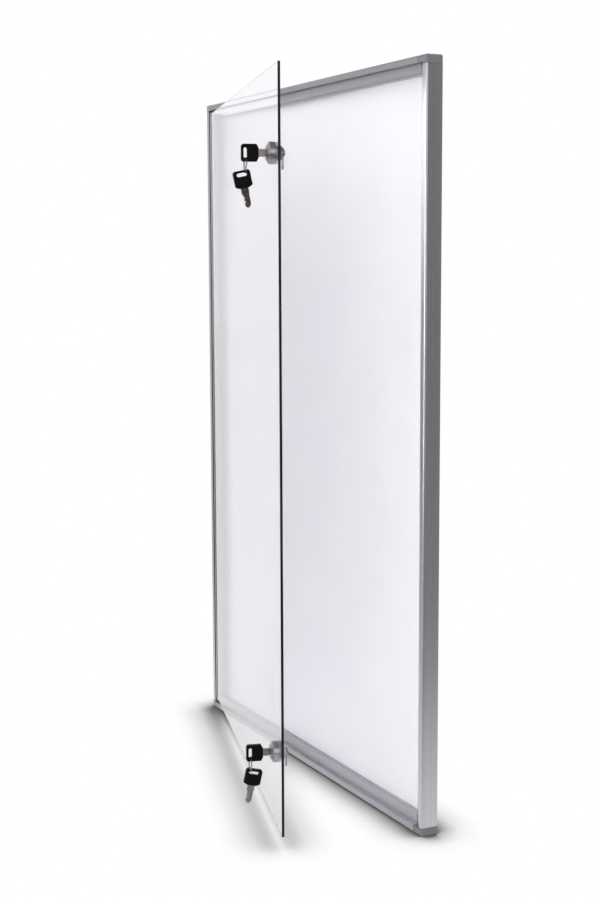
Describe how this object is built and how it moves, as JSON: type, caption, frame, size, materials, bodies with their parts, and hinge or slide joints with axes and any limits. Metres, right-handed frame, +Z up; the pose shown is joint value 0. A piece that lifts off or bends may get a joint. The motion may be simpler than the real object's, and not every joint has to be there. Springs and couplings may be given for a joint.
{
  "type": "lockable notice board",
  "caption": "Wall-hung notice board: shallow aluminium frame round a white magnetic panel, with a clear hinged door held shut by cam locks with keys.",
  "frame": {"origin": "on the wall plane, in the middle of the top rail's back face above its screw hole", "axes": "+Z up along the board's height, +Y into the wall, +X across the board from the hinge side to the lock side; the board faces -Y"},
  "size_m": [0.6, 0.2262, 0.9],
  "materials": {
    "aluminium_profile": "satin anodised",
    "corner_plastic": "moulded",
    "cap_plastic": "moulded",
    "white_enamel": "gloss enamel",
    "fibre_board": "raw fibre",
    "zinc_sheet": "zinc plated",
    "clear_sheet": "clear",
    "satin_chrome": "satin chrome",
    "bright_steel": "bright plated",
    "nickel_silver": "plain",
    "black_plastic": "moulded"
  },
  "bodies": {
    "frame": {"top_rail": "aluminium_profile", "bottom_rail": "aluminium_profile", "hinge_stile": "aluminium_profile", "lock_stile": "aluminium_profile", "corner_top_left": "corner_plastic", "corner_top_right": "corner_plastic", "corner_bottom_left": "corner_plastic", "corner_bottom_right": "corner_plastic", "panel_face": "white_enamel", "panel_core": "fibre_board", "panel_backing": "zinc_sheet", "top_fixing_cap": "cap_plastic", "bottom_fixing_cap": "cap_plastic"},
    "door": {"door_sheet": "clear_sheet", "door_hinge_profile": "aluminium_profile", "upper_lock_housing": "satin_chrome", "upper_lock_washer": "bright_steel", "upper_lock_nut": "bright_steel", "lower_lock_housing": "satin_chrome", "lower_lock_washer": "bright_steel", "lower_lock_nut": "bright_steel"},
    "upper_plug": {"upper_lock_plug": "bright_steel", "upper_lock_cam": "bright_steel", "upper_cam_screw": "bright_steel"},
    "upper_key": {"upper_key_blade": "nickel_silver", "upper_key_head": "black_plastic"},
    "upper_ring": {"upper_key_ring": "bright_steel"},
    "upper_spare": {"upper_spare_blade": "nickel_silver", "upper_spare_head": "black_plastic"},
    "lower_plug": {"lower_lock_plug": "bright_steel", "lower_lock_cam": "bright_steel", "lower_cam_screw": "bright_steel"},
    "lower_key": {"lower_key_blade": "nickel_silver", "lower_key_head": "black_plastic"},
    "lower_ring": {"lower_key_ring": "bright_steel"},
    "lower_spare": {"lower_spare_blade": "nickel_silver", "lower_spare_head": "black_plastic"}
  },
  "joints": [
    {"name": "door_hinge", "type": "hinge", "parent": "frame", "child": "door", "pos_m": [-0.289, -0.018, -0.4425], "axis": [0, 0, -1], "range_deg": [-16.75, 78.25]},
    {"name": "upper_lock_turn", "type": "hinge", "parent": "door", "child": "upper_plug", "pos_m": [0.24379, -0.18044, -0.104], "axis": [-0.2882, -0.9576, 0], "range_deg": [0, 90]},
    {"name": "upper_key_slide", "type": "slide", "parent": "upper_plug", "child": "upper_key", "axis": [-0.2882, -0.9576, 0], "range_m": [0, 0.02]},
    {"name": "upper_ring_swing", "type": "hinge", "parent": "upper_key", "child": "upper_ring", "pos_m": [0.23419, -0.21233, -0.10879], "axis": [0.9576, -0.2882, 0], "range_deg": [-30, 20]},
    {"name": "upper_spare_swing", "type": "hinge", "parent": "upper_ring", "child": "upper_spare", "pos_m": [0.23419, -0.21233, -0.12599], "axis": [0.9576, -0.2882, 0], "range_deg": [-30, 20]},
    {"name": "lower_lock_turn", "type": "hinge", "parent": "door", "child": "lower_plug", "pos_m": [0.24379, -0.18044, -0.781], "axis": [-0.2882, -0.9576, 0], "range_deg": [0, 90]},
    {"name": "lower_key_slide", "type": "slide", "parent": "lower_plug", "child": "lower_key", "axis": [-0.2882, -0.9576, 0], "range_m": [0, 0.02]},
    {"name": "lower_ring_swing", "type": "hinge", "parent": "lower_key", "child": "lower_ring", "pos_m": [0.23419, -0.21233, -0.78579], "axis": [0.9576, -0.2882, 0], "range_deg": [-30, 20]},
    {"name": "lower_spare_swing", "type": "hinge", "parent": "lower_ring", "child": "lower_spare", "pos_m": [0.23419, -0.21233, -0.80299], "axis": [0.9576, -0.2882, 0], "range_deg": [-30, 20]}
  ]
}
